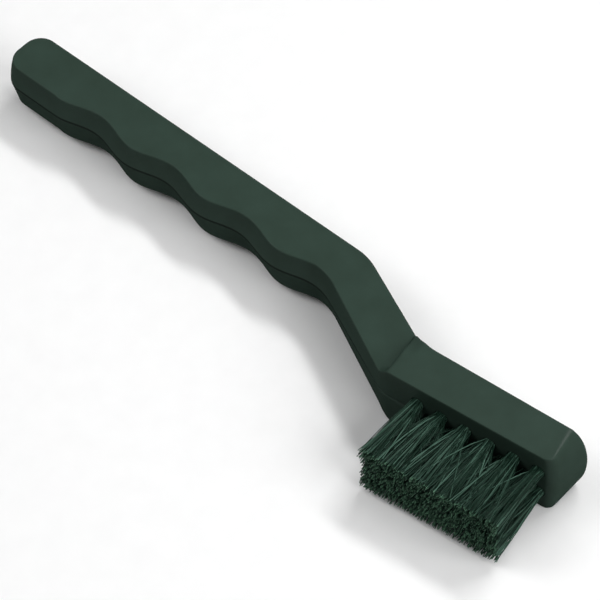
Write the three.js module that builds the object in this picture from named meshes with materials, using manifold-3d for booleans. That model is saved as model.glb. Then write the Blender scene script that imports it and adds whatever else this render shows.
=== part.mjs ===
// Anti-static hand brush: a one-piece moulded handle and head, set with rows of bristle tufts.
// Millimetres, +Z up. +X runs along the handle towards the head, and the bristles point towards -Y.
// The brush lies on its side, and the mould's parting line is the plan outline at half its thickness.
// The origin is at the middle of the whole brush's box, on its lower face.

import * as THREE from 'three';
import { mergeGeometries, mergeVertices } from 'three/addons/utils/BufferGeometryUtils.js';
import Module from 'manifold-3d';

const wasm = await Module();
wasm.setup();

// Clearance that seated pieces keep to each other
const SEAT_GAP = 0.3;

// Tufts and the pattern that they are set in: the middle row is staggered and has one tuft fewer
const TUFT_COLUMNS = 6;
const TUFT_ROWS = 3;
const TUFT_DIAMETER = 3.1;
const COLUMN_WALL = 3.05;
const ROW_WALL = 0.5;
const STRANDS_PER_TUFT = 24;
const STRAND_RADIUS = 0.2;
const STRAND_SIDES = 3;
const BRISTLE_LENGTH = 18.8;
const TRIM_RAGGEDNESS = 0.6;
const ROW_FAN = 1.35;
const COLUMN_FAN = 1.03;

// Tuft roots: the slice of the head that carries a row, the folded shank behind it and its anchor wire
const SLICE_THICKNESS = 2;
const SLICE_MARGIN = 0.6;
const SHANK_NECK = 1.5;
const SHANK_SIDES = 8;
const FOLD_THICKNESS = 0.5;
const ANCHOR_HEIGHT = 1.8;
const ANCHOR_THICKNESS = 0.4;
const ANCHOR_BITE = 0.55;

// Head block
const HEAD_TILT = THREE.MathUtils.degToRad(6.2);
const HEAD_HEEL = 8.2;
const HEAD_TOE = 6.25;
const HEAD_RIM = 3.85;
const HEAD_BACK_WALL = 4.9;
const HEAD_TAPER = 0.9;
const HEAD_END_SKEW = 2.6;
const HEAD_BACK_RADIUS = 1.4;
const HEAD_FRONT_RADIUS = 2.8;
const HEAD_STEP_RUN = 0.4;
const NOSE_BACK_SETBACK = 6;
const NOSE_FRONT_SETBACK = 1.5;
const NOSE_ZONE = 12;
const NOSE_CURVE = 2.9;

// Neck
const NECK_ANGLE = THREE.MathUtils.degToRad(23.4);
const NECK_WIDTH = 12.4;
const NECK_LENGTH = 28.9;
const NECK_BEND_RADIUS = 16;
const NECK_VALLEY_RADIUS = 10;
const NECK_FACE_RADIUS = 7;
const NECK_HEAD_OVERLAP = 3.4;

// Handle and its finger grips
const HANDLE_WIDTH = 13.65;
const HANDLE_THICKNESS = 12.6;
const BUTT_FLAT = 17.3;
const BUTT_RADIUS = 5.5;
const GRIP_COUNT = 4;
const GRIP_PITCH = 22.55;
const GRIP_DEPTH = 2.1;
const GRIP_RUN_OUT = 3;

// Mould draft of the side walls, and the rounding of the flat faces' edges
const SIDE_DRAFT = 1.1;
const EDGE_ROUND = 0.35;
const FACE_EDGE_SHARE = 0.7;

// Facets
const GRIP_STEPS = 10;
const CORNER_STEP = THREE.MathUtils.degToRad(11);

// Sizes that follow from the driving ones
const TUFT_PITCH = TUFT_DIAMETER + COLUMN_WALL;
const ROW_PITCH = TUFT_DIAMETER + ROW_WALL;
const FIELD_LENGTH = (TUFT_COLUMNS - 1) * TUFT_PITCH;
const FIELD_HEIGHT = (TUFT_ROWS - 1) * ROW_PITCH;
const SHANK_LENGTH = SHANK_NECK + ANCHOR_HEIGHT + 2 * SEAT_GAP + FOLD_THICKNESS;
const HOLE_DEPTH = SLICE_THICKNESS + SHANK_LENGTH + SEAT_GAP;
const HEAD_LENGTH = HEAD_HEEL + FIELD_LENGTH + HEAD_TOE;
const HEAD_DEPTH = HOLE_DEPTH + HEAD_BACK_WALL;
const HEAD_THICKNESS = FIELD_HEIGHT + TUFT_DIAMETER + 2 * HEAD_RIM;
const LAST_GRIP = BUTT_FLAT + GRIP_PITCH * (GRIP_COUNT - 0.5);
const GRIP_BOTTOM = HANDLE_WIDTH - GRIP_DEPTH;

// Plan directions, as (x, w): w is measured from the handle's straight back towards the bristles
const alongNeck = new THREE.Vector2(Math.cos(NECK_ANGLE), Math.sin(NECK_ANGLE));
const acrossNeck = new THREE.Vector2(-Math.sin(NECK_ANGLE), Math.cos(NECK_ANGLE));
const alongHead = new THREE.Vector2(Math.cos(HEAD_TILT), -Math.sin(HEAD_TILT));
const acrossHead = new THREE.Vector2(Math.sin(HEAD_TILT), Math.cos(HEAD_TILT));

// The neck's front line leaves the last grip, and its back line lies one neck width behind that
const gripCorner = new THREE.Vector2(LAST_GRIP + GRIP_RUN_OUT, GRIP_BOTTOM);
const neckBack = gripCorner.clone().addScaledVector(acrossNeck, -NECK_WIDTH);
const bendCorner = neckBack.clone().addScaledVector(alongNeck, -neckBack.y / alongNeck.y);
const valleyCorner = bendCorner.clone().addScaledVector(alongNeck, NECK_LENGTH);

// Head places by distance from the heel wall along the head, and from the head's back towards the bristles
const heelBack = valleyCorner.clone().addScaledVector(alongHead, -NECK_HEAD_OVERLAP);

function headPoint(along, across) {
  return heelBack.clone().addScaledVector(alongHead, along).addScaledVector(acrossHead, across);
}

function headPlace(point) {
  const offset = point.clone().sub(heelBack);
  return { along: offset.dot(alongHead), across: offset.dot(acrossHead) };
}

// Point where two plan lines cross
function crossing(startA, directionA, startB, directionB) {
  const between = startB.clone().sub(startA);
  const reach = between.cross(directionB) / directionA.cross(directionB);
  return startA.clone().addScaledVector(directionA, reach);
}

// Points of the arc that rounds a plan corner
function roundedCorner(before, corner, after, radius) {
  const toBefore = before.clone().sub(corner).normalize();
  const toAfter = after.clone().sub(corner).normalize();
  const halfAngle = toBefore.angleTo(toAfter) / 2;
  const bisector = toBefore.clone().add(toAfter).normalize();
  const centre = corner.clone().addScaledVector(bisector, radius / Math.sin(halfAngle));
  const start = corner.clone().addScaledVector(toBefore, radius / Math.tan(halfAngle)).sub(centre);
  const end = corner.clone().addScaledVector(toAfter, radius / Math.tan(halfAngle)).sub(centre);
  const sweep = Math.atan2(start.cross(end), start.dot(end));
  const steps = Math.max(2, Math.ceil(Math.abs(sweep) / CORNER_STEP));
  const origin = new THREE.Vector2();
  return Array.from({ length: steps + 1 }, (_, i) =>
    start.clone().rotateAround(origin, sweep * i / steps).add(centre));
}

// Finger grips: a wave along the front, from the flat stretch at the butt to the last grip's bottom
function gripWave() {
  const steps = Math.round(GRIP_STEPS * (GRIP_COUNT - 0.5));
  return Array.from({ length: steps }, (_, i) => {
    const turns = (GRIP_COUNT - 0.5) * i / steps;
    const depth = GRIP_DEPTH * (1 - Math.cos(2 * Math.PI * turns)) / 2;
    return new THREE.Vector2(BUTT_FLAT + GRIP_PITCH * turns, HANDLE_WIDTH - depth);
  });
}

// Parting line of the whole moulding, round from the butt along the back to the head and home by the grips
function partingOutline() {
  const buttBack = new THREE.Vector2(0, 0);
  const buttFront = new THREE.Vector2(0, HANDLE_WIDTH);
  const flatEnd = new THREE.Vector2(BUTT_FLAT, HANDLE_WIDTH);
  const gripEnd = new THREE.Vector2(LAST_GRIP, GRIP_BOTTOM);
  const endBack = headPoint(HEAD_LENGTH, HEAD_TAPER);
  const endFront = headPoint(HEAD_LENGTH - HEAD_END_SKEW, HEAD_DEPTH);
  const faceCorner = crossing(gripCorner, alongNeck, endFront, alongHead);
  const runOutRadius = GRIP_RUN_OUT / Math.tan(NECK_ANGLE / 2);
  return [
    ...roundedCorner(buttFront, buttBack, bendCorner, BUTT_RADIUS),
    ...roundedCorner(buttBack, bendCorner, valleyCorner, NECK_BEND_RADIUS),
    ...roundedCorner(bendCorner, valleyCorner, endBack, NECK_VALLEY_RADIUS),
    ...roundedCorner(valleyCorner, endBack, endFront, HEAD_BACK_RADIUS),
    ...roundedCorner(endBack, endFront, faceCorner, HEAD_FRONT_RADIUS),
    ...roundedCorner(endFront, faceCorner, gripCorner, NECK_FACE_RADIUS),
    ...roundedCorner(faceCorner, gripCorner, gripEnd, runOutRadius).slice(0, -1),
    gripEnd,
    ...gripWave().reverse(),
    ...roundedCorner(flatEnd, buttFront, buttBack, BUTT_RADIUS),
  ];
}

// The outline cut in two at the head's heel wall: the head's points, then the neck's and handle's
function splitAtHeel(outline) {
  const cutAt = (along) => {
    const cuts = [];
    outline.forEach((point, i) => {
      const next = outline[(i + 1) % outline.length];
      const from = headPlace(point).along - along;
      const to = headPlace(next).along - along;
      if (from * to < 0) cuts.push(point.clone().lerp(next, from / (from - to)));
    });
    return cuts;
  };
  const [headBackCut, headFrontCut] = cutAt(0);
  const [neckBackCut, neckFrontCut] = cutAt(-HEAD_STEP_RUN);
  const isHead = (point) => headPlace(point).along > 0;
  const isHandle = (point) => headPlace(point).along < -HEAD_STEP_RUN;
  const firstHead = outline.findIndex(isHead);
  const turned = [...outline.slice(firstHead), ...outline.slice(0, firstHead)];
  return {
    head: [headBackCut, ...turned.filter(isHead), headFrontCut],
    handle: [neckFrontCut, ...turned.filter(isHandle), neckBackCut],
  };
}

// Closed solid through rings of points that run anticlockwise about the way from the first to the last
function loft(rings, capFaces) {
  const count = rings[0].length;
  const last = (rings.length - 1) * count;
  const index = [];
  for (let start = 0; start < last; start += count) {
    for (let i = 0; i < count; i += 1) {
      const next = (i + 1) % count;
      index.push(start + i, start + next, start + count + next);
      index.push(start + i, start + count + next, start + count + i);
    }
  }
  for (const [a, b, c] of capFaces) {
    index.push(c, b, a, last + a, last + b, last + c);
  }
  const geometry = new THREE.BufferGeometry();
  const positions = rings.flat().flatMap((point) => point.toArray());
  geometry.setAttribute('position', new THREE.Float32BufferAttribute(positions, 3));
  geometry.setIndex(index);
  return geometry;
}

function toSolid(geometry) {
  const bare = geometry.clone();
  bare.deleteAttribute('normal');
  bare.deleteAttribute('uv');
  const merged = mergeVertices(bare);
  return new wasm.Manifold(new wasm.Mesh({
    numProp: 3,
    vertProperties: Float32Array.from(merged.attributes.position.array),
    triVerts: Uint32Array.from(merged.index.array),
  }));
}

function toGeometry(solid) {
  const mesh = solid.getMesh();
  const geometry = new THREE.BufferGeometry();
  geometry.setAttribute('position', new THREE.BufferAttribute(mesh.vertProperties, 3));
  geometry.setIndex(new THREE.BufferAttribute(mesh.triVerts, 1));
  geometry.computeVertexNormals();
  return geometry;
}

// Moulding without its tuft pockets: walls lean in from the parting line, and the head's end rounds off
function mouldingGeometry() {
  const { head, handle } = splitAtHeel(partingOutline());
  const plan = [...head, ...handle].reverse();
  const headCount = head.length;
  const handleCount = handle.length;
  const halfThickness = (i) => (i < handleCount ? HANDLE_THICKNESS : HEAD_THICKNESS) / 2;

  const outward = plan.map((point, i) => {
    const before = plan[(i + plan.length - 1) % plan.length];
    const after = plan[(i + 1) % plan.length];
    const run = after.clone().sub(before).normalize();
    return new THREE.Vector2(-run.y, run.x);
  });

  // The bristle face stands upright, so draft and rounding fade out towards it
  const wallShare = (point) => {
    const { along, across } = headPlace(point);
    const nearHead = THREE.MathUtils.smoothstep(along, -NECK_LENGTH, 0);
    return 1 - nearHead * THREE.MathUtils.clamp(across / HEAD_DEPTH, 0, 1);
  };

  // The head's end rounds over towards its flat sides, more at the back than at the bristle face
  const noseSetback = (point, height) => {
    const frontShare = THREE.MathUtils.clamp(headPlace(point).across / HEAD_DEPTH, 0, 1);
    const left = Math.max(1 - (height * 2 / HEAD_THICKNESS) ** NOSE_CURVE, 0) ** (1 / NOSE_CURVE);
    return THREE.MathUtils.lerp(NOSE_BACK_SETBACK, NOSE_FRONT_SETBACK, frontShare) * (1 - left);
  };

  // How far a point of the outline belongs to the head's end, where the setback replaces the rounding
  const endShare = (point, i) => Math.max(outward[i].dot(alongHead), 0)
    * THREE.MathUtils.smoothstep(headPlace(point).along, HEAD_LENGTH - NOSE_ZONE, HEAD_LENGTH);

  const ringAt = (wallRise, roundTurn, side) => plan.map((point, i) => {
    const share = wallShare(point);
    const rounding = EDGE_ROUND * THREE.MathUtils.lerp(FACE_EDGE_SHARE, 1, share);
    const height = (halfThickness(i) - rounding) * wallRise + rounding * Math.sin(roundTurn);
    const roundInset = rounding * (1 - Math.cos(roundTurn)) * (1 - endShare(point, i));
    const inset = SIDE_DRAFT * share * wallRise + roundInset;
    const moved = point.clone().addScaledVector(outward[i], -inset);
    const reach = (headPlace(moved).along - HEAD_LENGTH + NOSE_ZONE) / NOSE_ZONE;
    moved.addScaledVector(alongHead, -noseSetback(point, height) * Math.max(reach, 0) ** 2);
    return new THREE.Vector3(moved.x, -moved.y, side * height);
  });

  const walls = [[0.5, 0], [0.75, 0], [0.9, 0], [0.96, 0], [1, 0]];
  const upper = [...walls, [1, Math.PI / 4], [1, Math.PI / 2]];
  const rings = [
    ...upper.map(([rise, turn]) => ringAt(rise, turn, -1)).reverse(),
    ringAt(0, 0, 1),
    ...upper.map(([rise, turn]) => ringAt(rise, turn, 1)),
  ];

  // The flat faces: the handle's, the head's and the heel wall between them
  const flat = rings.at(-1).map((point) => new THREE.Vector2(point.x, point.y));
  const handleFaces = THREE.ShapeUtils.triangulateShape(flat.slice(0, handleCount), []);
  const headFaces = THREE.ShapeUtils.triangulateShape(flat.slice(handleCount), [])
    .map((face) => face.map((i) => i + handleCount));
  const end = handleCount + headCount - 1;
  const heelFaces = [[0, handleCount - 1, handleCount], [0, handleCount, end]];
  return loft(rings, [...handleFaces, ...headFaces, ...heelFaces]);
}

// Head-side frame: x along the head from its heel, y from the bristle face into the head, z up
const head = new THREE.Group();
const faceOrigin = headPoint(0, HEAD_DEPTH);
head.position.set(faceOrigin.x, -faceOrigin.y, 0);
head.rotation.z = HEAD_TILT;
head.updateMatrix();

const fieldMiddle = HEAD_HEEL + FIELD_LENGTH / 2;
const rowHeight = (row) => (row - (TUFT_ROWS - 1) / 2) * ROW_PITCH;

// Tuft centres of a row as (x, z) in the head's frame
function tuftCentres(row) {
  const columns = TUFT_COLUMNS - (row % 2);
  const start = fieldMiddle - (columns - 1) * TUFT_PITCH / 2;
  return Array.from({ length: columns }, (_, column) =>
    new THREE.Vector2(start + column * TUFT_PITCH, rowHeight(row)));
}

function boxBetween(low, high) {
  const size = new THREE.Vector3().subVectors(high, low);
  const middle = new THREE.Vector3().addVectors(low, high).divideScalar(2);
  return new THREE.BoxGeometry(size.x, size.y, size.z).translate(middle.x, middle.y, middle.z);
}

// Round bar along y between two depths behind the bristle face
function barBetween(centre, radius, shallow, deep) {
  const bar = new THREE.CylinderGeometry(radius, radius, deep - shallow, SHANK_SIDES);
  return bar.translate(centre.x, (shallow + deep) / 2, centre.y);
}

// Slice of the head's face that carries a row of tufts, grown by a clearance where it is a pocket
function sliceBox(row, gap) {
  const halfLength = (FIELD_LENGTH + TUFT_DIAMETER) / 2 + SLICE_MARGIN + gap;
  const halfHeight = (ROW_PITCH - SEAT_GAP) / 2 + gap;
  return boxBetween(
    new THREE.Vector3(fieldMiddle - halfLength, gap > 0 ? -BRISTLE_LENGTH : 0, rowHeight(row) - halfHeight),
    new THREE.Vector3(fieldMiddle + halfLength, SLICE_THICKNESS + gap, rowHeight(row) + halfHeight),
  );
}

// Flat anchor wire across a tuft's folded root, grown by a clearance where it is a slot
function anchorBox(centre, gap) {
  const halfLength = TUFT_DIAMETER / 2 + ANCHOR_BITE + gap;
  const deep = SLICE_THICKNESS + SHANK_LENGTH - FOLD_THICKNESS - SEAT_GAP;
  const halfThickness = ANCHOR_THICKNESS / 2 + gap;
  return boxBetween(
    new THREE.Vector3(centre.x - halfLength, deep - ANCHOR_HEIGHT - gap, centre.y - halfThickness),
    new THREE.Vector3(centre.x + halfLength, deep + gap, centre.y + halfThickness),
  );
}

// Handle, neck and head in one moulding, with its tuft pockets
function handleBody() {
  let solid = toSolid(mouldingGeometry());
  const cut = (geometry) => {
    solid = solid.subtract(toSolid(geometry.applyMatrix4(head.matrix)));
  };
  for (let row = 0; row < TUFT_ROWS; row += 1) {
    cut(sliceBox(row, SEAT_GAP));
    for (const centre of tuftCentres(row)) {
      cut(barBetween(centre, TUFT_DIAMETER / 2 + SEAT_GAP, SLICE_THICKNESS, HOLE_DEPTH));
      cut(anchorBox(centre, SEAT_GAP));
    }
  }
  return toGeometry(solid);
}

// Tufts open towards their tips until they almost meet, and the whole field fans out
const tipPitch = TUFT_PITCH * COLUMN_FAN;
const tipGap = Math.min(tipPitch, Math.hypot(tipPitch / 2, ROW_PITCH * ROW_FAN));
const rootRadius = TUFT_DIAMETER / 2 - STRAND_RADIUS;
const tipRadius = (tipGap - SEAT_GAP) / 2 - STRAND_RADIUS;

function tuftTip(centre) {
  return new THREE.Vector2(fieldMiddle + (centre.x - fieldMiddle) * COLUMN_FAN, centre.y * ROW_FAN);
}

// One straight strand from the slice to its trimmed tip, placed on a sunflower spiral in its tuft
function strand(centre, number) {
  const origin = new THREE.Vector2();
  const goldenShare = (Math.sqrt(5) - 1) / 2;
  const outwards = new THREE.Vector2(1, 0).rotateAround(origin, 2 * Math.PI * goldenShare * number);
  const spread = Math.sqrt((number + 0.5) / STRANDS_PER_TUFT);
  const trim = TRIM_RAGGEDNESS * (goldenShare * number % 1);
  const ringAt = (middle, tuftRadius, y) => Array.from({ length: STRAND_SIDES }, (_, side) => {
    const corner = outwards.clone().rotateAround(origin, 2 * Math.PI * side / STRAND_SIDES);
    const place = middle.clone()
      .addScaledVector(outwards, tuftRadius * spread)
      .addScaledVector(corner, STRAND_RADIUS);
    return new THREE.Vector3(place.x, y, place.y);
  });
  const root = ringAt(centre, rootRadius, SLICE_THICKNESS / 2);
  const tip = ringAt(tuftTip(centre), tipRadius, trim - BRISTLE_LENGTH);
  const cap = Array.from({ length: STRAND_SIDES - 2 }, (_, side) => [0, side + 1, side + 2]);
  return loft([root, tip], cap);
}

// One row of tufts: strands, their slice of the head's face and the folded shanks with anchor slots
function bristleRow(row) {
  const centres = tuftCentres(row);
  const strands = centres.flatMap((centre) =>
    Array.from({ length: STRANDS_PER_TUFT }, (_, number) => strand(centre, number)));
  let solid = toSolid(sliceBox(row, 0)).add(toSolid(mergeGeometries(strands)));
  for (const centre of centres) {
    const shank = toSolid(barBetween(
      centre, TUFT_DIAMETER / 2, SLICE_THICKNESS / 2, SLICE_THICKNESS + SHANK_LENGTH));
    solid = solid.add(shank).subtract(toSolid(anchorBox(centre, SEAT_GAP)));
  }
  return toGeometry(solid);
}

// Finishes
const conductivePlastic = new THREE.MeshStandardMaterial({ color: 0x2d3b34, roughness: 0.45, metalness: 0 });
const conductiveFilament = new THREE.MeshStandardMaterial({ color: 0x1c2622, roughness: 0.4, metalness: 0 });
const brassWire = new THREE.MeshStandardMaterial({ color: 0xb5924c, roughness: 0.35, metalness: 1 });

function namedMesh(name, geometry, material) {
  const mesh = new THREE.Mesh(geometry, material);
  mesh.name = name;
  return mesh;
}

// Assembly
const brush = new THREE.Group();
brush.add(namedMesh('handle_body', handleBody(), conductivePlastic));
brush.add(head);

let anchorNumber = 0;
for (let row = 0; row < TUFT_ROWS; row += 1) {
  head.add(namedMesh(`bristle_row_${row + 1}`, bristleRow(row), conductiveFilament));
  for (const centre of tuftCentres(row)) {
    anchorNumber += 1;
    const name = `tuft_anchor_${String(anchorNumber).padStart(2, '0')}`;
    head.add(namedMesh(name, anchorBox(centre, 0), brassWire));
  }
}

// Origin at the middle of the lower face of the whole brush's box
const extent = new THREE.Box3().setFromObject(brush, true);
const middle = extent.getCenter(new THREE.Vector3());
brush.position.set(-middle.x, -middle.y, -extent.min.z);

const part = new THREE.Group();
part.add(brush);

export default part;
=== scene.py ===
"""Anti-static hand brush: the looks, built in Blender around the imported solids.

The handle, neck and head are one moulding, and the tufts are bundles of drawn filament. All sizes
are in millimetres in the brush's plan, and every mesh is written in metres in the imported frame.
"""

import logging
import math
from collections.abc import Sequence
from dataclasses import dataclass
from enum import Enum

import bpy
import numpy as np
from mathutils import Matrix, Vector

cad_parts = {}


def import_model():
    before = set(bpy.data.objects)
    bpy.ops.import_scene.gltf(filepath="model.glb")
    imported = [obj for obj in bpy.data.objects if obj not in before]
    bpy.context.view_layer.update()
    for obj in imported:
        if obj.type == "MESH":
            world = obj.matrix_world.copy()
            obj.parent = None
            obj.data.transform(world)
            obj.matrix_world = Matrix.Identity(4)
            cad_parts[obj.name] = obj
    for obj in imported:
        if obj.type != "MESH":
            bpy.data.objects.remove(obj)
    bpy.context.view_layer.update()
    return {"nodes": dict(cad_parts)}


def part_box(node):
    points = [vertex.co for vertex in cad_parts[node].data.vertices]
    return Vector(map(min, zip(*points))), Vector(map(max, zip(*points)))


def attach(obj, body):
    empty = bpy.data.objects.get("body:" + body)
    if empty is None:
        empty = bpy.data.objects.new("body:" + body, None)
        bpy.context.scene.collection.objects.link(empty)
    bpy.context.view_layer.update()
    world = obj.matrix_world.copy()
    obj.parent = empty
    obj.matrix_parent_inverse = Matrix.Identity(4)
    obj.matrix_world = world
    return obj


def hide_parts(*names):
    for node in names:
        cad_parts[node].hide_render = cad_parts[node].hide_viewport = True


LOG = logging.getLogger("brush")
BODY = "root"
MM = 0.001
MM_PER_M = 1000.0
PHOTO_SIDE_PX = 600
SENSOR_MM = 36.0
GOLDEN_TURN = math.pi * (math.sqrt(5) - 1)  # turn between neighbours in a sunflower's even pattern


class Slot(Enum):
    """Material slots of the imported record."""

    PLASTIC = "conductive_plastic"
    FILAMENT = "conductive_filament"
    WIRE = "brass_wire"


def to_linear(colour: str) -> tuple[float, float, float, float]:
    """Turn an sRGB hex colour into a linear one, by the sRGB standard's own curve.

    Args:
        colour: Six hex digits.

    Returns:
        Linear red, green, blue and an alpha of 1.
    """
    shares = [int(colour[i:i + 2], 16) / 255 for i in (0, 2, 4)]
    linear = [c / 12.92 if c <= 0.04045 else ((c + 0.055) / 1.055) ** 2.4 for c in shares]
    return (*linear, 1.0)


def per_metre(size_mm: float) -> float:
    """Scale of a pattern whose features are this many millimetres wide."""
    return MM_PER_M / size_mm


def smoothstep(value: np.ndarray | float, low: float, high: float) -> np.ndarray:
    """Ease from 0 at low to 1 at high."""
    share = np.clip((np.asarray(value, float) - low) / (high - low), 0.0, 1.0)
    return share * share * (3 - 2 * share)


def add_node(
    tree: bpy.types.NodeTree, kind: str, inputs: dict[str | int, object], **settings: object
) -> bpy.types.Node:
    """Add a node with its settings, input values and links.

    Args:
        tree: The node tree that takes it.
        kind: Blender's name for the node type.
        inputs: A value or an output socket for each input, by name or number.
        settings: Properties of the node itself.

    Returns:
        The new node.
    """
    node = tree.nodes.new(kind)
    for name, value in settings.items():
        setattr(node, name, value)
    for key, value in inputs.items():
        if isinstance(value, bpy.types.NodeSocket):
            tree.links.new(value, node.inputs[key])
        else:
            node.inputs[key].default_value = value
    return node


def blank_material(name: str) -> tuple[bpy.types.Material, bpy.types.NodeTree]:
    """Make a material whose node tree is empty.

    Args:
        name: The material's name.

    Returns:
        The material and its node tree.
    """
    material = bpy.data.materials.new(name)
    material.use_nodes = True
    material.node_tree.nodes.clear()
    return material, material.node_tree


def seen_share(tree: bpy.types.NodeTree) -> bpy.types.NodeSocket:
    """One for rays that show a surface: from the camera, in a reflection or through glass.

    Args:
        tree: The node tree to add to.

    Returns:
        The output that carries the share.
    """
    rays = add_node(tree, "ShaderNodeLightPath", {}).outputs
    seen = add_node(tree, "ShaderNodeMath",
                    {0: rays["Is Camera Ray"], 1: rays["Is Glossy Ray"]}, operation="MAXIMUM")
    either = add_node(tree, "ShaderNodeMath",
                      {0: seen.outputs[0], 1: rays["Is Transmission Ray"]}, operation="MAXIMUM")
    return either.outputs[0]


@dataclass(frozen=True)
class MouldedConductivePolypropylene:
    """Carbon-filled polypropylene, injection-moulded in a lightly blasted mould.

    The carbon makes it black all through. Flow leaves soft clouds in its tone, and the mould leaves
    a satin skin that shines along edges. A few pale dust flecks lie on what faces up, and a dark
    line of painted shade runs along the parting groove, as far as the head.
    """

    groove_height_m: float
    groove_end_m: float
    dark: str = "2b3931"
    light: str = "34453d"
    fleck: str = "8b988f"
    # Colour of the painted shade along the parting groove, where the groove's own shadow would fall.
    groove_shade: str = "0c1611"
    ior: float = 1.49
    shine: float = 0.0  # in place of the usual 0.5, because the filler breaks up the resin's reflection
    carbon_share: float = 0.03  # how much of the skin is bare carbon, which glints like graphite
    carbon_ior: float = 2.4
    carbon_roughness: float = 0.27
    smooth_roughness: float = 0.4
    dull_roughness: float = 0.55
    cloud_mm: float = 7.0
    cloud_detail: float = 3.0
    grain_mm: float = 0.45  # drawn coarser than the mould's 0.1 mm grain, which is too fine to show
    grain_depth_mm: float = 0.012
    grain_detail: float = 2.0
    grain_strength: float = 0.35
    fleck_spacing_mm: float = 6.5
    fleck_mm: float = 0.2
    fleck_share: float = 0.75
    fleck_facing: float = 0.9  # upward part of the normal, above which dust stays lying
    # Width, strength and fade towards the head of the painted shade along the parting groove.
    groove_shade_mm: float = 0.42
    groove_shade_share: float = 0.9
    groove_shade_fade_mm: float = 10.0

    def material(self) -> bpy.types.Material:
        """Build the plastic's node material.

        Returns:
            The material.
        """
        material, tree = blank_material("moulded_conductive_polypropylene")
        place = add_node(tree, "ShaderNodeTexCoord", {}).outputs["Object"]
        clouds = add_node(tree, "ShaderNodeTexNoise",
                          {"Vector": place, "Scale": per_metre(self.cloud_mm),
                           "Detail": self.cloud_detail})
        grain = add_node(tree, "ShaderNodeTexNoise",
                         {"Vector": place, "Scale": per_metre(self.grain_mm),
                          "Detail": self.grain_detail})
        tone = add_node(tree, "ShaderNodeMix",
                        {0: clouds.outputs[0], 6: to_linear(self.dark), 7: to_linear(self.light)},
                        data_type="RGBA")

        cells = add_node(tree, "ShaderNodeTexVoronoi",
                         {"Vector": place, "Scale": per_metre(self.fleck_spacing_mm)})
        spot = add_node(tree, "ShaderNodeMapRange",
                        {"Value": cells.outputs["Distance"],
                         "From Min": 0.0, "From Max": self.fleck_mm / self.fleck_spacing_mm,
                         "To Min": self.fleck_share, "To Max": 0.0})
        facing = add_node(tree, "ShaderNodeSeparateXYZ",
                          {0: add_node(tree, "ShaderNodeNewGeometry", {}).outputs["Normal"]})
        upward = add_node(tree, "ShaderNodeMath", {0: facing.outputs["Z"], 1: self.fleck_facing},
                          operation="GREATER_THAN")
        dust = add_node(tree, "ShaderNodeMath", {0: spot.outputs[0], 1: upward.outputs[0]},
                        operation="MULTIPLY")
        dusted = add_node(tree, "ShaderNodeMix",
                          {0: dust.outputs[0], 6: tone.outputs[2], 7: to_linear(self.fleck)},
                          data_type="RGBA")

        # Painted shade: a dark line at the parting plane's height along the groove, fading out towards
        # the head.
        at = add_node(tree, "ShaderNodeSeparateXYZ", {0: place}).outputs
        above = add_node(tree, "ShaderNodeMath", {0: at["Z"], 1: self.groove_height_m},
                         operation="SUBTRACT")
        away = add_node(tree, "ShaderNodeMath", {0: above.outputs[0]}, operation="ABSOLUTE")
        line = add_node(tree, "ShaderNodeMapRange",
                        {"Value": away.outputs[0], "From Min": self.groove_shade_mm / 2 * MM,
                         "From Max": self.groove_shade_mm * MM, "To Min": 1.0, "To Max": 0.0})
        reach = add_node(tree, "ShaderNodeMapRange",
                         {"Value": at["X"], "From Min": self.groove_end_m - self.groove_shade_fade_mm * MM,
                          "From Max": self.groove_end_m,
                          "To Min": self.groove_shade_share, "To Max": 0.0})
        painted_groove_shade = add_node(tree, "ShaderNodeMath", {0: line.outputs[0], 1: reach.outputs[0]},
                         operation="MULTIPLY")
        colour = add_node(tree, "ShaderNodeMix",
                          {0: painted_groove_shade.outputs[0], 6: dusted.outputs[2], 7: to_linear(self.groove_shade)},
                          data_type="RGBA")

        roughness = add_node(tree, "ShaderNodeMapRange",
                             {"Value": grain.outputs[0],
                              "To Min": self.smooth_roughness, "To Max": self.dull_roughness})
        bump = add_node(tree, "ShaderNodeBump",
                        {"Height": grain.outputs[0], "Strength": self.grain_strength,
                         "Distance": self.grain_depth_mm * MM})
        shader = add_node(tree, "ShaderNodeBsdfPrincipled",
                          {"Base Color": colour.outputs[2], "Roughness": roughness.outputs[0],
                           "Normal": bump.outputs[0], "IOR": self.ior,
                           "Specular IOR Level": self.shine, "Coat Weight": self.carbon_share,
                           "Coat Roughness": self.carbon_roughness, "Coat IOR": self.carbon_ior})
        add_node(tree, "ShaderNodeOutputMaterial", {"Surface": shader.outputs[0]})
        return material


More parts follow.
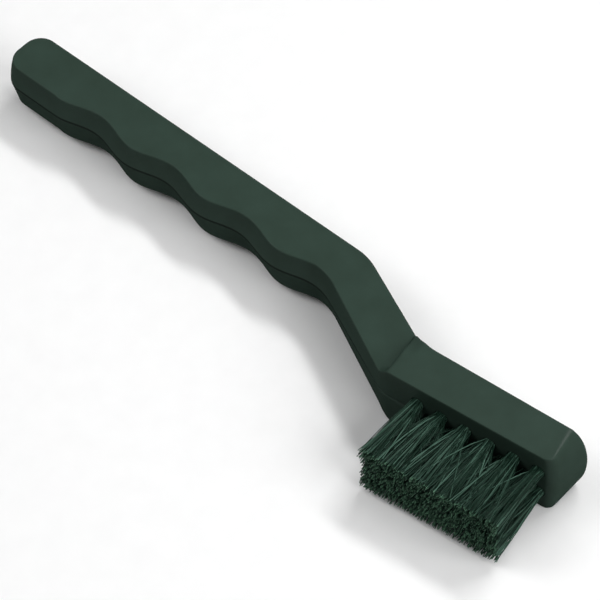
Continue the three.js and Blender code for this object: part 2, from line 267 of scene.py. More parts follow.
@dataclass(frozen=True)
class DrawnConductiveNylon:
    """Carbon-filled nylon, drawn to stiff monofilament and trimmed.

    Drawing leaves each filament smooth, so it carries a bright streak along its length. Filaments
    take up carbon unevenly, so their tones differ from one to the next. Trimming frays their ends,
    which look paler for it.
    """

    trim_direction: Sequence[float]
    trim_plane_m: float
    dark: str = "192e24"
    light: str = "547465"
    frayed: str = "5d856a"
    frayed_mm: float = 0.8
    ior: float = 1.53
    shine: float = 0.06
    smooth_roughness: float = 0.21
    dull_roughness: float = 0.39
    streak_mm: float = 0.6
    streak_detail: float = 1.0
    unevenness: float = 4.0  # power of the chance draw, so that most strands are dark and few are pale

    def material(self) -> bpy.types.Material:
        """Build the filament's node material.

        Returns:
            The material.
        """
        material, tree = blank_material("drawn_conductive_nylon")
        strand = add_node(tree, "ShaderNodeNewGeometry", {}).outputs["Random Per Island"]
        place = add_node(tree, "ShaderNodeTexCoord", {}).outputs["Object"]
        draw = add_node(tree, "ShaderNodeTexNoise",
                        {"Vector": place, "Scale": per_metre(self.streak_mm),
                         "Detail": self.streak_detail})
        share = add_node(tree, "ShaderNodeMath", {0: strand, 1: self.unevenness}, operation="POWER")
        tone = add_node(tree, "ShaderNodeMix",
                        {0: share.outputs[0], 6: to_linear(self.dark), 7: to_linear(self.light)},
                        data_type="RGBA")
        reach = add_node(tree, "ShaderNodeVectorMath", {0: place, 1: self.trim_direction},
                         operation="DOT_PRODUCT")
        end = add_node(tree, "ShaderNodeMapRange",
                       {"Value": reach.outputs["Value"],
                        "From Min": self.trim_plane_m - self.frayed_mm * MM,
                        "From Max": self.trim_plane_m, "To Min": 0.0, "To Max": strand})
        colour = add_node(tree, "ShaderNodeMix",
                          {0: end.outputs[0], 6: tone.outputs[2], 7: to_linear(self.frayed)},
                          data_type="RGBA")
        roughness = add_node(tree, "ShaderNodeMapRange",
                             {"Value": draw.outputs[0],
                              "To Min": self.smooth_roughness, "To Max": self.dull_roughness})
        shader = add_node(tree, "ShaderNodeBsdfPrincipled",
                          {"Base Color": colour.outputs[2], "Roughness": roughness.outputs[0],
                           "IOR": self.ior, "Specular IOR Level": self.shine})
        add_node(tree, "ShaderNodeOutputMaterial", {"Surface": shader.outputs[0]})
        return material


@dataclass(frozen=True)
class DrawnBrassWire:
    """Brass, drawn to flat wire and cropped: yellow metal with fine lines along its length."""

    base: str = "b5924c"
    worn: str = "9a7a3c"
    line_mm: float = 0.12
    line_stretch: float = 0.05
    line_detail: float = 2.0
    smooth_roughness: float = 0.272
    dull_roughness: float = 0.442

    def material(self) -> bpy.types.Material:
        """Build the wire's node material.

        Returns:
            The material.
        """
        material, tree = blank_material("drawn_brass_wire")
        place = add_node(tree, "ShaderNodeTexCoord", {}).outputs["Object"]
        along = add_node(tree, "ShaderNodeMapping",
                         {"Vector": place, "Scale": (self.line_stretch, 1.0, 1.0)})
        lines = add_node(tree, "ShaderNodeTexNoise",
                         {"Vector": along.outputs[0], "Scale": per_metre(self.line_mm),
                          "Detail": self.line_detail})
        tone = add_node(tree, "ShaderNodeMix",
                        {0: lines.outputs[0], 6: to_linear(self.base), 7: to_linear(self.worn)},
                        data_type="RGBA")
        roughness = add_node(tree, "ShaderNodeMapRange",
                             {"Value": lines.outputs[0],
                              "To Min": self.smooth_roughness, "To Max": self.dull_roughness})
        shader = add_node(tree, "ShaderNodeBsdfPrincipled",
                          {"Base Color": tone.outputs[2], "Roughness": roughness.outputs[0],
                           "Metallic": 1.0})
        add_node(tree, "ShaderNodeOutputMaterial", {"Surface": shader.outputs[0]})
        return material


@dataclass(frozen=True)
class MattStudioPaper:
    """Uncoated white card, rolled: a bright, even ground with a faint fibre tone.

    The light that it throws back onto the brush is dimmed, so that the walls stay darker than the tops.
    """

    white: str = "fbfbfb"
    thrown_back: str = "bababa"
    fibre: str = "f6f6f6"
    fibre_mm: float = 6.0

    def material(self) -> bpy.types.Material:
        """Build the card's node material.

        Returns:
            The material.
        """
        material, tree = blank_material("matt_studio_paper")
        place = add_node(tree, "ShaderNodeTexCoord", {}).outputs["Object"]
        fibres = add_node(tree, "ShaderNodeTexNoise",
                          {"Vector": place, "Scale": per_metre(self.fibre_mm)})
        tone = add_node(tree, "ShaderNodeMix",
                        {0: fibres.outputs[0], 6: to_linear(self.white), 7: to_linear(self.fibre)},
                        data_type="RGBA")
        colour = add_node(tree, "ShaderNodeMix",
                          {0: seen_share(tree), 6: to_linear(self.thrown_back), 7: tone.outputs[2]},
                          data_type="RGBA")
        shader = add_node(tree, "ShaderNodeBsdfDiffuse", {"Color": colour.outputs[2]})
        add_node(tree, "ShaderNodeOutputMaterial", {"Surface": shader.outputs[0]})
        return material


@dataclass
class BrushPlan:
    """Plan of the brush: x along the handle, w from its straight back towards the bristles."""

    handle_width: float = 13.65
    butt_flat: float = 17.3
    butt_radius: float = 5.5
    grip_count: int = 4
    grip_pitch: float = 22.55
    grip_depth: float = 2.1
    grip_run_out: float = 3.0
    neck_angle: float = math.radians(23.4)
    neck_width: float = 12.4
    neck_length: float = 28.9
    neck_bend_radius: float = 16.0
    neck_valley_radius: float = 10.0
    neck_face_radius: float = 7.0
    neck_head_overlap: float = 3.4
    head_tilt: float = math.radians(6.2)
    head_length: float = 45.2
    head_depth: float = 11.6
    head_taper: float = 0.9
    head_end_skew: float = 2.6
    head_back_radius: float = 1.4
    head_front_radius: float = 2.8
    grip_steps: int = 48
    corner_step: float = math.radians(3)
    corner_least_steps: int = 3

    def __post_init__(self) -> None:
        """Work out the directions and corners that follow from the sizes."""
        low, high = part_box("handle_body")
        self.shift = Vector((low.x, high.y, (low.z + high.z) / 2))
        self.along_neck = np.array((math.cos(self.neck_angle), math.sin(self.neck_angle)))
        self.across_neck = np.array((-math.sin(self.neck_angle), math.cos(self.neck_angle)))
        self.along_head = np.array((math.cos(self.head_tilt), -math.sin(self.head_tilt)))
        self.across_head = np.array((math.sin(self.head_tilt), math.cos(self.head_tilt)))
        self.grip_turns = self.grip_count - 0.5  # the last grip runs out into the neck from its trough
        self.last_grip = self.butt_flat + self.grip_pitch * self.grip_turns
        self.grip_bottom = self.handle_width - self.grip_depth
        self.grip_corner = np.array((self.last_grip + self.grip_run_out, self.grip_bottom))
        neck_back = self.grip_corner - self.neck_width * self.across_neck
        self.bend_corner = neck_back - self.along_neck * (neck_back[1] / self.along_neck[1])
        self.valley_corner = self.bend_corner + self.neck_length * self.along_neck
        self.heel_back = self.valley_corner - self.neck_head_overlap * self.along_head

    def head_point(self, along: np.ndarray | float, across: np.ndarray | float) -> np.ndarray:
        """Plan points by their distance along the head from its heel and across it from its back.

        Args:
            along: Distances along the head.
            across: Distances from the head's back towards the bristles.

        Returns:
            Plan points, one a row.
        """
        return (self.heel_back + np.asarray(along)[..., None] * self.along_head
                + np.asarray(across)[..., None] * self.across_head)

    def head_place(self, points: np.ndarray) -> tuple[np.ndarray, np.ndarray]:
        """Distances along and across the head of plan points, the inverse of head_point."""
        offset = np.asarray(points) - self.heel_back
        return offset @ self.along_head, offset @ self.across_head

    def to_frame(self, points: np.ndarray, heights: np.ndarray | float) -> np.ndarray:
        """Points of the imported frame, in metres.

        Args:
            points: Plan points, one a row.
            heights: Heights above the parting plane.

        Returns:
            Points in metres, one a row.
        """
        return np.stack((points[..., 0] * MM + self.shift.x, self.shift.y - points[..., 1] * MM,
                         heights * MM + self.shift.z), axis=-1)

    def from_frame(self, places: np.ndarray) -> np.ndarray:
        """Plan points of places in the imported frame, the inverse of to_frame without the heights."""
        return np.stack((places[:, 0] - self.shift.x, self.shift.y - places[:, 1]), axis=-1) / MM

    def rounded(
        self, before: np.ndarray, corner: np.ndarray, after: np.ndarray, radius: float
    ) -> list[np.ndarray]:
        """Points of the arc that rounds a plan corner.

        Args:
            before: A point on the line that comes in.
            corner: The sharp corner.
            after: A point on the line that goes out.
            radius: The arc's radius.

        Returns:
            Plan points from the arc's start to its end.
        """
        to_before = (before - corner) / np.linalg.norm(before - corner)
        to_after = (after - corner) / np.linalg.norm(after - corner)
        half = math.acos(float(np.clip(to_before @ to_after, -1, 1))) / 2
        bisector = (to_before + to_after) / np.linalg.norm(to_before + to_after)
        centre = corner + bisector * radius / math.sin(half)
        start = corner + to_before * radius / math.tan(half) - centre
        end = corner + to_after * radius / math.tan(half) - centre
        sweep = math.atan2(start[0] * end[1] - start[1] * end[0], float(start @ end))
        steps = max(self.corner_least_steps, math.ceil(abs(sweep) / self.corner_step))
        turns = [sweep * i / steps for i in range(steps + 1)]
        return [centre + np.array((start[0] * math.cos(t) - start[1] * math.sin(t),
                                   start[0] * math.sin(t) + start[1] * math.cos(t))) for t in turns]

    def outline(self) -> np.ndarray:
        """Parting line from the butt along the back to the head, and home by the grips.

        Returns:
            Plan points, one a row.
        """
        butt_back = np.array((0.0, 0.0))
        butt_front = np.array((0.0, self.handle_width))
        flat_end = np.array((self.butt_flat, self.handle_width))
        grip_end = np.array((self.last_grip, self.grip_bottom))
        end_back = self.head_point(self.head_length, self.head_taper)
        end_front = self.head_point(self.head_length - self.head_end_skew, self.head_depth)
        between = end_front - self.grip_corner
        reach = ((between[0] * self.along_head[1] - between[1] * self.along_head[0])
                 / (self.along_neck[0] * self.along_head[1] - self.along_neck[1] * self.along_head[0]))
        face_corner = self.grip_corner + reach * self.along_neck
        run_out_radius = self.grip_run_out / math.tan(self.neck_angle / 2)
        turns = np.arange(round(self.grip_steps * self.grip_turns)) / self.grip_steps
        wave = np.stack((self.butt_flat + self.grip_pitch * turns,
                         self.handle_width
                         - self.grip_depth * (1 - np.cos(2 * math.pi * turns)) / 2), axis=-1)
        return np.array([
            *self.rounded(butt_front, butt_back, self.bend_corner, self.butt_radius),
            *self.rounded(butt_back, self.bend_corner, self.valley_corner, self.neck_bend_radius),
            *self.rounded(self.bend_corner, self.valley_corner, end_back, self.neck_valley_radius),
            *self.rounded(self.valley_corner, end_back, end_front, self.head_back_radius),
            *self.rounded(end_back, end_front, face_corner, self.head_front_radius),
            *self.rounded(end_front, face_corner, self.grip_corner, self.neck_face_radius),
            *self.rounded(face_corner, self.grip_corner, grip_end, run_out_radius)[:-1],
            grip_end,
            *wave[::-1],
            *self.rounded(flat_end, butt_front, butt_back, self.butt_radius),
        ])


def new_piece(name: str, mesh: bpy.types.Mesh, material: bpy.types.Material) -> bpy.types.Object:
    """Put a mesh in the scene as a named object.

    Args:
        name: The piece's name.
        mesh: Its mesh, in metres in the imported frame.
        material: Its only material.

    Returns:
        The new object.
    """
    mesh.materials.append(material)
    piece = bpy.data.objects.new(name, mesh)
    bpy.context.scene.collection.objects.link(piece)
    return piece


@dataclass
class MouldedBody:
    """Handle, neck and head in one moulding, with a parting line right round and round tuft holes."""

    plan: BrushPlan
    handle_thickness: float = 12.6
    head_thickness: float = 18.0
    side_draft: float = 1.1
    wall_belly: float = 1.6
    wall_cove: float = 2.2
    cove_turn: float = 6.0
    grip_lean: float = 1.6
    edge_round: float = 0.35
    face_edge_share: float = 0.7
    flat_rim: float = 0.25
    parting_depth: float = 0.35
    parting_rise: float = 0.045
    parting_fade: float = 0.85
    parting_fade_run: float = 8.0
    nose_back_setback: float = 6.0
    nose_front_setback: float = 1.5
    nose_zone: float = 12.0
    nose_curve: float = 2.9
    step_run: float = 0.4
    step_fillet: float = 0.3
    step_round: float = 1.1
    heel_drop: float = 1.6
    heel_length: float = 3.6
    heel_width: float = 6.5
    ramp_run: float = 3.2
    ramp_width: float = 3.0
    wall_steps: int = 9
    round_steps: int = 8
    step_steps: int = 5
    heel_steps: int = 8
    ramp_steps: int = 6
    heel_columns: int = 20
    sharp_angle: float = math.radians(35)

    def heel_stations(self) -> list[tuple[float, float]]:
        """Places along the head and half thicknesses there, from the neck up the step to the flat.

        Returns:
            A place and a half thickness for each station.
        """
        low, high = self.handle_thickness / 2, self.head_thickness / 2
        turns = [math.pi / 2 * i / self.step_steps for i in range(self.step_steps + 1)]
        foot = [(-self.step_run - self.step_fillet * (1 - math.sin(t)),
                 low + self.step_fillet * (1 - math.cos(t))) for t in turns]
        brow = [(self.step_round * (1 - math.cos(t)),
                 high - self.step_round * (1 - math.sin(t))) for t in turns]
        lead = np.linspace(-self.ramp_run, foot[0][0], self.ramp_steps, endpoint=False)
        flat = np.linspace(self.heel_length, brow[-1][0], self.heel_steps, endpoint=False)[::-1]
        return [(along, low) for along in lead] + foot + brow + [(along, high) for along in flat]

    def heel_height(
        self, along: float, half: float, to_front: np.ndarray | float, to_back: np.ndarray | float
    ) -> np.ndarray:
        """Half thicknesses across the heel, where the step runs out at the head's front and back.

        Args:
            along: The place along the head.
            half: Half thickness there in the middle of the head.
            to_front: Distances from the front edge.
            to_back: Distances from the back edge.

        Returns:
            Half thickness at each distance.
        """
        low, high = self.handle_thickness / 2, self.head_thickness / 2
        ramp = low + (high - low) * smoothstep(along, -self.ramp_run, self.step_round)
        front = 1 - smoothstep(to_front, 0, self.ramp_width)
        back = ((1 - smoothstep(along, 0, self.heel_length))
                * (1 - smoothstep(to_back, 0, self.heel_width)))
        raised = half * (1 - front) + ramp * front
        return raised - self.heel_drop * back * (raised - low) / (high - low)

    def crossings(self, outline: np.ndarray, along: float) -> tuple[np.ndarray, np.ndarray]:
        """Points where the outline crosses a line across the head.

        Args:
            outline: The closed parting line.
            along: The line's place along the head.

        Returns:
            The point on the back and the point on the front.
        """
        places = self.plan.head_place(outline)[0] - along
        following = np.roll(places, -1)
        found = []
        for i in np.nonzero(places * following < 0)[0]:
            share = places[i] / (places[i] - following[i])
            found.append(outline[i] * (1 - share) + outline[(i + 1) % len(outline)] * share)
        return found[0], found[1]

    def loop(self) -> tuple[np.ndarray, np.ndarray, np.ndarray]:
        """Plan points anticlockwise from above, with half thicknesses and the step's crossings.

        Returns:
            Points, half thicknesses, and front and back places in the loop for each heel station.
        """
        outline = self.plan.outline()
        stations = self.heel_stations()
        places = self.plan.head_place(outline)[0]
        backs, fronts = zip(*(self.crossings(outline, along) for along, _ in stations))
        first = int(np.argmax(places > stations[-1][0]))
        turned, turned_places = np.roll(outline, -first, axis=0), np.roll(places, -first)
        handle = turned[turned_places < stations[0][0]][::-1]
        head = turned[turned_places > stations[-1][0]][::-1]
        points = np.array([backs[0], *handle, *fronts, *head, *backs[:0:-1]])
        widths = np.linalg.norm(np.array(fronts) - np.array(backs), axis=1)
        front_halves = [float(self.heel_height(*at, 0.0, width)) for at, width in zip(stations, widths)]
        back_halves = [float(self.heel_height(*at, width, 0.0)) for at, width in zip(stations, widths)]
        halves = np.array([back_halves[0]] * (len(handle) + 1) + front_halves
                          + [front_halves[-1]] * len(head) + back_halves[:0:-1])
        order = np.arange(len(stations))
        ends = np.stack((len(handle) + 1 + order, -order % len(points)), axis=-1)
        return points, halves, ends

    def flat_side(
        self, rim: np.ndarray, ends: np.ndarray, side: int, base: int, first: int
    ) -> tuple[list[list[float]], list[list[int]]]:
        """Fill one flat side: the handle's face, the step's grid and the head's face.

        Args:
            rim: The side's innermost ring.
            ends: Front and back places in the ring for each heel station.
            side: 1 for the upper side and -1 for the lower.
            base: The ring's first point in the mesh.
            first: The first new point in the mesh.

        Returns:
            New points, and faces that run anticlockwise from above.
        """
        points, rows = [], []
        shares = np.arange(1, self.heel_columns) / self.heel_columns
        for (front, back), (along, half) in zip(ends.tolist(), self.heel_stations()):
            front_end, back_end = self.plan.from_frame(rim[[front, back]])
            line = front_end + shares[:, None] * (back_end - front_end)
            width = np.linalg.norm(back_end - front_end)
            heights = self.heel_height(along, half, shares * width, (1 - shares) * width)
            start = first + len(points)
            points += self.plan.to_frame(line, side * heights).tolist()
            rows.append([base + front, *range(start, start + len(line)), base + back])
        (handle_front, _), (head_front, head_back) = ends[0].tolist(), ends[-1].tolist()
        faces = [[*range(base, base + handle_front), *rows[0][:-1]],
                 [*range(base + head_front, base + head_back + 1), *rows[-1][-2:0:-1]]]
        for near, far in zip(rows, rows[1:]):
            faces += [[near[i], far[i], far[i + 1], near[i + 1]] for i in range(self.heel_columns)]
        return points, faces

    def ring(
        self, points: np.ndarray, halves: np.ndarray, rise: float, turn: float,
        extra: np.ndarray, side: int,
    ) -> np.ndarray:
        """One ring of the moulding's skin.

        Args:
            points: The loop in plan.
            halves: Half thickness at each point.
            rise: Share of the wall's height.
            turn: Angle round the top edge.
            extra: Further inset at each point, by the parting line or on the flat face.
            side: 1 above the parting plane and -1 below.

        Returns:
            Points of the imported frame.
        """
        plan = self.plan
        along, across = plan.head_place(points)
        run = np.roll(points, -1, axis=0) - np.roll(points, 1, axis=0)
        run /= np.linalg.norm(run, axis=1)[:, None]
        outward = np.stack((-run[:, 1], run[:, 0]), axis=-1)
        near_head = smoothstep(along, -plan.neck_length, 0)
        front = np.clip(across / plan.head_depth, 0, 1)
        share = 1 - near_head * front
        rounding = self.edge_round * (self.face_edge_share + (1 - self.face_edge_share) * share)
        height = (halves - rounding) * rise + rounding * math.sin(turn)
        at_end = (np.maximum(outward @ plan.along_head, 0)
                  * smoothstep(along, plan.head_length - self.nose_zone, plan.head_length))
        on_grips = ((points[:, 0] > plan.butt_flat) & (points[:, 0] < plan.last_grip)
                    & (outward[:, 1] > 0))
        lean = 1 - self.grip_lean * np.where(on_grips, outward[:, 0], 0)
        coved = np.clip(outward[:, 1], 0, 1) ** self.cove_turn * (1 - near_head)
        profile = coved * (1 - (1 - rise) ** self.wall_cove) + (1 - coved) * rise ** self.wall_belly
        inset = (self.side_draft * share * lean * profile
                 + rounding * (1 - math.cos(turn)) * (1 - at_end) + extra)
        moved = points - outward * inset[:, None]
        reach = (plan.head_place(moved)[0] - plan.head_length + self.nose_zone) / self.nose_zone
        level = height * 2 / self.head_thickness
        bulge = np.maximum(1 - level ** self.nose_curve, 0) ** (1 / self.nose_curve)
        setback = (self.nose_back_setback * (1 - front) + self.nose_front_setback * front) * (1 - bulge)
        eased = np.maximum(reach, 0) ** 2  # squared, so that the setback starts softly
        moved -= (setback * eased)[:, None] * plan.along_head
        return plan.to_frame(moved, side * height)

    def skin(self) -> bpy.types.Mesh:
        """The closed skin, before its holes are cut.

        Returns:
            Its mesh.
        """
        points, halves, ends = self.loop()
        along = self.plan.head_place(points)[0]
        faded = self.parting_fade * smoothstep(along, 0, self.parting_fade_run)
        parting = self.parting_depth * (1 - faded)
        flush = np.zeros_like(parting)
        walls = np.linspace(self.parting_rise, 1, self.wall_steps)
        turns = np.linspace(0, math.pi / 2, self.round_steps + 1)[1:]
        upper = [(rise, 0.0, flush) for rise in walls] + [(1.0, turn, flush) for turn in turns]
        upper.append((1.0, math.pi / 2, flush + self.flat_rim))
        rings = [self.ring(points, halves, *station, -1) for station in reversed(upper)]
        rings.append(self.ring(points, halves, 0.0, 0.0, parting, 1))
        rings += [self.ring(points, halves, *station, 1) for station in upper]

        count, top = len(points), (len(rings) - 1) * len(points)
        following = [(i + 1) % count for i in range(count)]
        faces = [[low + i, low + following[i], low + count + following[i], low + count + i]
                 for low in range(0, top, count) for i in range(count)]
        below, below_faces = self.flat_side(rings[0], ends, -1, 0, top + count)
        above, above_faces = self.flat_side(rings[-1], ends, 1, top, top + count + len(below))
        faces += [face[::-1] for face in below_faces] + above_faces
        mesh = bpy.data.meshes.new("moulded_body")
        mesh.from_pydata(np.concatenate((*rings, below, above)).tolist(), [], faces)
        return mesh

    def build(self, holes: bpy.types.Mesh, material: bpy.types.Material) -> bpy.types.Object:
        """Make the moulding, cut its tuft holes and put it in the scene.

        Args:
            holes: Closed plugs in the places of the tuft holes.
            material: The plastic.

        Returns:
            The piece.
        """
        piece = new_piece("moulded_body", self.skin(), material)
        cutter = new_piece("hole_plugs", holes, material)
        cut = piece.modifiers.new("tuft_holes", "BOOLEAN")
        cut.operation, cut.solver, cut.object = "DIFFERENCE", "EXACT", cutter
        graph = bpy.context.evaluated_depsgraph_get()
        mesh = bpy.data.meshes.new_from_object(piece.evaluated_get(graph))
        piece.modifiers.clear()
        piece.data = mesh
        bpy.data.objects.remove(cutter)
        mesh.shade_smooth()
        mesh.set_sharp_from_angle(angle=self.sharp_angle)
        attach(piece, BODY)
        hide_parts("handle_body")
        return piece


@dataclass
class TuftField:
    """Rows of filament tufts in the head, trimmed to one plane."""

    plan: BrushPlan
    columns: int = 6
    rows: int = 3
    tuft_diameter: float = 3.1
    tuft_pitch: float = 6.15
    row_pitch: float = 3.6
    first_column: float = 8.2
    row_fan: float = 1.35
    tip_radius: float = 2.6
    edge_raggedness: float = 0.08
    cone_share: float = 0.75
    bristle_length: float = 18.45
    trim_raggedness: float = 0.9
    hole_depth: float = 6.7
    hole_clearance: float = 0.05
    hole_flare: float = 0.1
    hole_sides: int = 40
    plug_overhang: float = 1.0
    filament_diameter: float = 0.21
    filaments: int = 190
    filament_sides: int = 5
    fold_depth: float = 6.1
    wire_half: float = 0.2
    splay: float = 0.8
    lean: float = 1.8
    stray_share: float = 0.4
    stray_lean: float = 3.6
    tuft_lean: float = 0.6
    bow: float = 0.2
    free_steps: int = 6
    sharp_angle: float = math.radians(80)
    seed: int = 11

    def middle(self) -> float:
        """Middle of the tuft field along the head."""
        return self.first_column + (self.columns - 1) * self.tuft_pitch / 2

    def centres(self, row: int) -> np.ndarray:
        """Tuft centres of a row.

        Args:
            row: The row's number from 0, lowest first.

        Returns:
            Places along the head and heights above the parting plane, one centre a row.
        """
        count = self.columns - row % 2
        along = self.middle() + (np.arange(count) - (count - 1) / 2) * self.tuft_pitch
        height = (row - (self.rows - 1) / 2) * self.row_pitch
        return np.stack((along, np.full(count, height)), axis=-1)

    def placed(
        self, along: np.ndarray | float, depth: np.ndarray | float, height: np.ndarray | float
    ) -> np.ndarray:
        """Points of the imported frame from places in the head, with depth behind the bristle face."""
        return self.plan.to_frame(self.plan.head_point(along, self.plan.head_depth - depth), height)

    def hole_plugs(self) -> bpy.types.Mesh:
        """Closed plugs in the shape of all tuft holes, flared at the bristle face.

        Returns:
            Their mesh.
        """
        radius = self.tuft_diameter / 2 + self.hole_clearance
        wide = radius + self.hole_flare
        profile = np.array(((wide, -self.plug_overhang), (wide, 0.0),
                            (radius, self.hole_flare), (radius, self.hole_depth)))
        turns = 2 * math.pi * np.arange(self.hole_sides) / self.hole_sides
        around = np.stack((np.cos(turns), np.sin(turns)), axis=-1)
        points, faces, sides = [], [], self.hole_sides
        following = [(i + 1) % sides for i in range(sides)]
        for centre in np.concatenate([self.centres(row) for row in range(self.rows)]):
            start = len(points)
            for reach, depth in profile:
                spot = centre + around * reach
                points += self.placed(spot[:, 0], np.full(sides, depth), spot[:, 1]).tolist()
            for ring in range(len(profile) - 1):
                low = start + ring * sides
                faces += [[low + i, low + sides + i, low + sides + following[i], low + following[i]]
                          for i in range(sides)]
            last = start + (len(profile) - 1) * sides
            faces += [[start + i for i in range(sides)], [last + i for i in reversed(range(sides))]]
        mesh = bpy.data.meshes.new("hole_plugs")
        mesh.from_pydata(points, [], faces)
        return mesh

    def tuft_paths(self, centre: np.ndarray, draw: np.random.Generator) -> np.ndarray:
        """Paths of one tuft's filaments, from the fold under the wire to the trimmed tips.

        Args:
            centre: The tuft's place along the head and above the parting plane.
            draw: The seeded source of chance.

        Returns:
            Along, depth and height of each point of each filament.
        """
        number = np.arange(self.filaments)
        turn = number * GOLDEN_TURN
        spread = np.sqrt((number + 0.5) / self.filaments)
        disc = np.stack((np.cos(turn), np.sin(turn)), axis=-1) * spread[:, None]
        root = disc * (self.tuft_diameter - self.filament_diameter) / 2

        fanned = np.array((centre[0], centre[1] * self.row_fan))
        stray = draw.random(self.filaments) < self.stray_share
        reach = np.where(stray, self.stray_lean, self.lean)[:, None]
        lean = draw.normal(0, 1, (self.filaments, 2)) * reach
        cone = fanned + disc * self.tip_radius * self.cone_share
        tip = cone + draw.normal(0, self.tuft_lean, 2) + lean
        middle = np.array((self.middle(), 0.0))
        half = np.array(((self.columns - 1) * self.tuft_pitch / 2,
                         (self.rows - 1) * self.row_pitch * self.row_fan / 2)) + self.tip_radius
        offset = (tip - middle) / half
        limit = 1 - self.edge_raggedness * draw.random((self.filaments, 2))
        folded = limit - np.abs(limit - np.abs(offset))  # tips past the limit are turned back inside it
        tip = middle + half * np.sign(offset) * folded
        short = draw.random(self.filaments) ** 2  # squared, so that most tips lie near the trim plane
        trim = self.bristle_length - self.trim_raggedness * short
        bow = draw.normal(0, self.bow, (self.filaments, 2))

        held = root.copy()
        clear = self.wire_half + self.filament_diameter / 2
        held[:, 1] = np.where(held[:, 1] < 0, -1, 1) * np.maximum(np.abs(held[:, 1]), clear)
        stations = [(centre + held, np.full(self.filaments, self.fold_depth)),
                    (centre + root, np.full(self.filaments, self.fold_depth / 2))]
        for share in np.linspace(0, 1, self.free_steps + 1):
            out = share ** self.splay
            bent = bow * 4 * share * (1 - share)  # a parabola, whole halfway along
            spot = (centre + root) * (1 - out) + tip * out + bent
            stations.append((spot, -trim * share))
        return np.stack([np.stack((spot[:, 0], depth, spot[:, 1]), axis=-1)
                         for spot, depth in stations], axis=1)

    def build(self, row: int, material: bpy.types.Material) -> bpy.types.Object:
        """Make one row of tufts and put it in the scene.

        Args:
            row: The row's number from 0, lowest first.
            material: The filament.

        Returns:
            The piece.
        """
        draw = np.random.default_rng(self.seed + row)
        paths = np.concatenate([self.tuft_paths(centre, draw) for centre in self.centres(row)])
        strands, stations, sides = paths.shape[0], paths.shape[1], self.filament_sides
        turns = 2 * math.pi * np.arange(sides) / sides
        radius = self.filament_diameter / 2
        along = paths[:, :, None, 0] + radius * np.cos(turns)
        height = paths[:, :, None, 2] + radius * np.sin(turns)
        depth = np.repeat(paths[:, :, None, 1], sides, axis=2)
        points = self.placed(along, depth, height).reshape(-1, 3)

        side = np.arange(sides)
        ring = np.arange(stations - 1)[:, None] * sides
        quads = np.stack((ring + side, ring + sides + side,
                          ring + sides + (side + 1) % sides, ring + (side + 1) % sides), axis=-1)
        starts = np.arange(strands) * stations * sides
        faces = (starts[:, None, None] + quads.reshape(1, -1, 4)).reshape(-1, 4).tolist()
        faces += (starts[:, None] + side).tolist()
        faces += (starts[:, None] + (stations - 1) * sides + side[::-1]).tolist()
        mesh = bpy.data.meshes.new(f"tuft_row_{row + 1}")
        mesh.from_pydata(points.tolist(), [], faces)
        mesh.shade_smooth()
        mesh.set_sharp_from_angle(angle=self.sharp_angle)
        piece = new_piece(f"tuft_row_{row + 1}", mesh, material)
        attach(piece, BODY)
        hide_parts(f"bristle_row_{row + 1}")
        return piece


@dataclass
class AnchorWires:
    """Flat wires that hold the tufts' folds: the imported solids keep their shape."""

    nodes: dict[str, bpy.types.Object]
    prefix: str = "tuft_anchor_"

    def dress(self, material: bpy.types.Material) -> list[bpy.types.Object]:
        """Give every anchor wire its metal.

        Args:
            material: The brass.

        Returns:
            The dressed pieces.
        """
        wires = [node for name, node in sorted(self.nodes.items()) if name.startswith(self.prefix)]
        for wire in wires:
            wire.data.materials.clear()
            wire.data.materials.append(material)
        return wires


@dataclass(frozen=True)
class SoftLamp:
    """A soft box, by where it stands, how large it is and how much light it gives."""

    name: str
    azimuth_deg: float
    elevation_deg: float
    distance_m: float
    width_m: float
    height_m: float
    watts: float

    def add(self) -> None:
        """Hang the lamp and point it at the brush."""
        azimuth, elevation = math.radians(self.azimuth_deg), math.radians(self.elevation_deg)
        away = Vector((math.cos(azimuth) * math.cos(elevation),
                       math.sin(azimuth) * math.cos(elevation), math.sin(elevation)))
        light = bpy.data.lights.new(self.name, "AREA")
        light.shape, light.energy = "RECTANGLE", self.watts
        light.size, light.size_y = self.width_m, self.height_m
        lamp = bpy.data.objects.new(self.name, light)
        lamp.location = away * self.distance_m
        lamp.rotation_mode = "QUATERNION"
        lamp.rotation_quaternion = (-away).to_track_quat("-Z", "Y")
        bpy.context.scene.collection.objects.link(lamp)


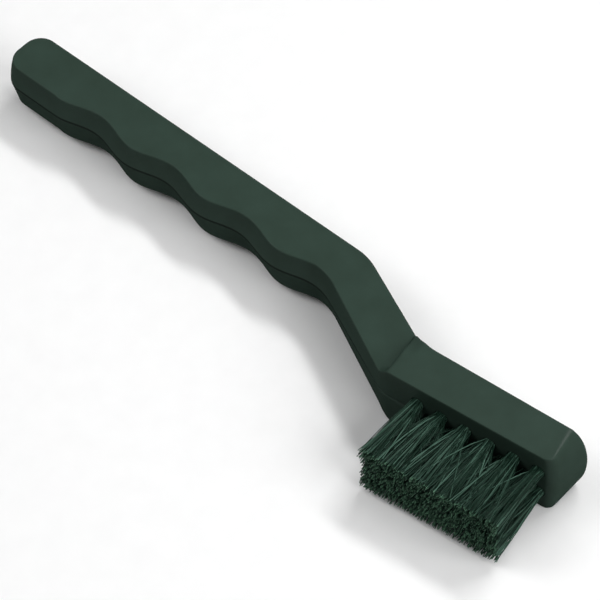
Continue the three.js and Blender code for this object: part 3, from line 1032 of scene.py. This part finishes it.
@dataclass
class Studio:
    """White card floor, lamps, a bright ceiling and the photograph's camera."""

    plan: BrushPlan
    camera_from_butt_mm: tuple[float, float, float] = (416.18, -320.2, 577.4)
    camera_forward: tuple[float, float, float] = (-0.4398, 0.4182, -0.7948)
    camera_right: tuple[float, float, float] = (0.7364, 0.6745, -0.0526)
    focal_px: float = 3319.5
    floor_side_m: float = 6.0
    floor_drop_mm: float = 0.05
    clip_m: tuple[float, float] = (0.01, 50.0)
    room: str = "ffffff"
    ceiling_from: float = 0.25
    ceiling_strength: float = 0.36
    lamps: Sequence[SoftLamp] = (
        SoftLamp("key_lamp", azimuth_deg=5, elevation_deg=33, distance_m=0.9,
                 width_m=0.6, height_m=0.6, watts=5.0),
        SoftLamp("back_lamp", azimuth_deg=80, elevation_deg=57, distance_m=0.9,
                 width_m=0.5, height_m=0.1, watts=3.4),
        SoftLamp("front_lamp", azimuth_deg=215, elevation_deg=50, distance_m=1.0,
                 width_m=0.5, height_m=0.5, watts=3.2),
    )

    def add_floor(self, material: bpy.types.Material) -> bpy.types.Object:
        """Lay the card just under the brush.

        Args:
            material: The card.

        Returns:
            The floor.
        """
        half, drop = self.floor_side_m / 2, -self.floor_drop_mm * MM
        mesh = bpy.data.meshes.new("floor")
        corners = [(-half, -half, drop), (half, -half, drop), (half, half, drop), (-half, half, drop)]
        mesh.from_pydata(corners, [], [(0, 1, 2, 3)])
        floor = new_piece("floor", mesh, material)
        return floor

    def add_room(self) -> None:
        """Light the room softly from its ceiling, and show it as a white backdrop."""
        world = bpy.data.worlds.new("room")
        world.use_nodes = True
        tree = world.node_tree
        tree.nodes.clear()
        direction = add_node(tree, "ShaderNodeSeparateXYZ",
                             {0: add_node(tree, "ShaderNodeTexCoord", {}).outputs["Generated"]})
        strength = add_node(tree, "ShaderNodeMapRange",
                            {"Value": direction.outputs["Z"], "From Min": self.ceiling_from,
                             "To Min": 0.0, "To Max": self.ceiling_strength})
        light = add_node(tree, "ShaderNodeBackground",
                         {"Color": to_linear(self.room), "Strength": strength.outputs[0]})
        backdrop = add_node(tree, "ShaderNodeBackground", {"Color": to_linear(self.room)})
        either = add_node(tree, "ShaderNodeMixShader",
                          {0: seen_share(tree), 1: light.outputs[0], 2: backdrop.outputs[0]})
        add_node(tree, "ShaderNodeOutputWorld", {"Surface": either.outputs[0]})
        bpy.context.scene.world = world

    def add_camera(self) -> None:
        """Stand the camera where the photograph was taken from."""
        lens = bpy.data.cameras.new("camera")
        lens.sensor_width = SENSOR_MM
        lens.lens = self.focal_px / PHOTO_SIDE_PX * SENSOR_MM
        lens.clip_start, lens.clip_end = self.clip_m
        back = -Vector(self.camera_forward).normalized()
        right = Vector(self.camera_right)
        right = (right - back * right.dot(back)).normalized()
        turn = Matrix((right, back.cross(right), back)).transposed()
        camera = bpy.data.objects.new("camera", lens)
        place = self.plan.shift + Vector(self.camera_from_butt_mm) * MM
        camera.matrix_world = Matrix.Translation(place) @ turn.to_4x4()
        bpy.context.scene.collection.objects.link(camera)
        bpy.context.scene.camera = camera

    def build(self, floor: bpy.types.Material) -> None:
        """Set the whole studio up.

        Args:
            floor: The floor's material.
        """
        self.add_floor(floor)
        self.add_room()
        for lamp in self.lamps:
            lamp.add()
        self.add_camera()
        bpy.context.scene.view_settings.view_transform = "Standard"


def main() -> None:
    """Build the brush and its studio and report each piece."""
    logging.basicConfig(level=logging.INFO, format="%(name)s: %(message)s")
    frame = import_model()
    plan = BrushPlan()
    Studio(plan).build(MattStudioPaper().material())
    tufts = TuftField(plan)
    heel = plan.to_frame(plan.heel_back, 0.0)
    plastic = MouldedConductivePolypropylene(groove_height_m=heel[2], groove_end_m=heel[0]).material()
    outward = (plan.across_head[0], -plan.across_head[1], 0.0)
    tips = tufts.placed(0.0, -tufts.bristle_length, 0.0)
    trim_plane = float(tips @ outward)
    filament = DrawnConductiveNylon(trim_direction=outward, trim_plane_m=trim_plane).material()
    pieces = [MouldedBody(plan).build(tufts.hole_plugs(), plastic)]
    pieces += [tufts.build(row, filament) for row in range(tufts.rows)]
    pieces += AnchorWires(frame["nodes"]).dress(DrawnBrassWire().material())
    for piece in pieces:
        LOG.info("%s: %d faces", piece.name, len(piece.data.polygons))


if __name__ == "__main__":
    main()
